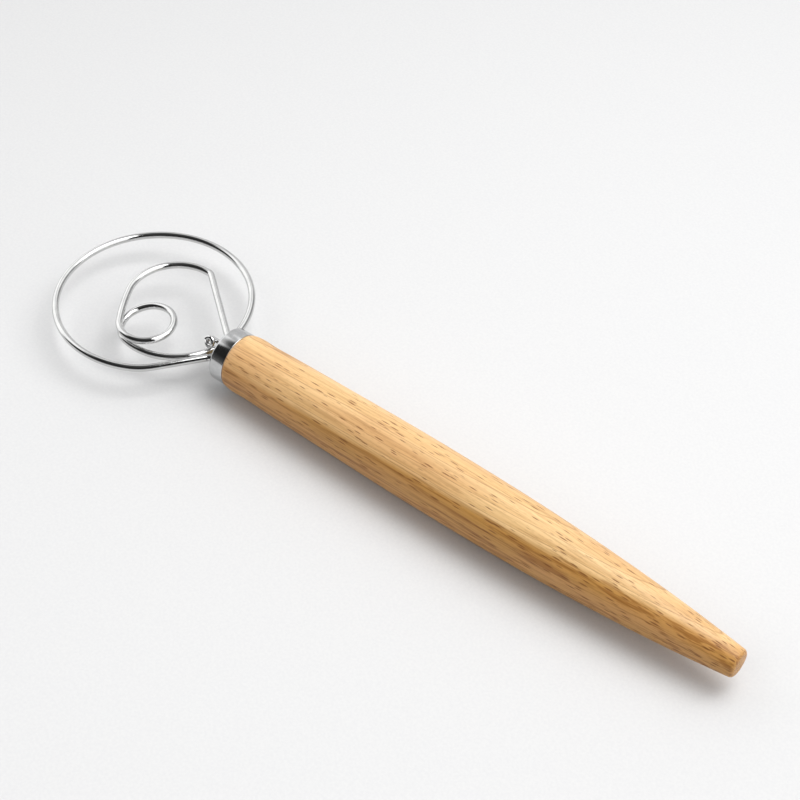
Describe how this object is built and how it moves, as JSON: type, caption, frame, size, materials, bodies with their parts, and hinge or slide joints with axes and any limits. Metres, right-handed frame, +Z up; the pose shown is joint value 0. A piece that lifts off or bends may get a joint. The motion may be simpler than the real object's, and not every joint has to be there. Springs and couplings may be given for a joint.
{
  "type": "danish dough whisk",
  "caption": "Hand dough whisk: a turned wooden handle with a steel ferrule that holds a large wire loop and a smaller coiled wire, for mixing stiff dough.",
  "frame": {"origin": "centre of the flat end of the handle's butt", "axes": "+X along the handle's axis from the butt to the wire head, +Z up, square to the plane that the wire head lies in"},
  "size_m": [0.3364, 0.0864, 0.027],
  "materials": {
    "wood": "satin lacquer over fine-pored light hardwood",
    "ferrule_steel": "polished",
    "wire_steel": "polished",
    "resin": "cured adhesive"
  },
  "bodies": {
    "root": {"handle": "wood", "ferrule": "ferrule_steel", "outer_loop": "wire_steel", "inner_wire": "wire_steel", "retaining_eye": "wire_steel", "adhesive_plug": "resin"}
  },
  "joints": []
}
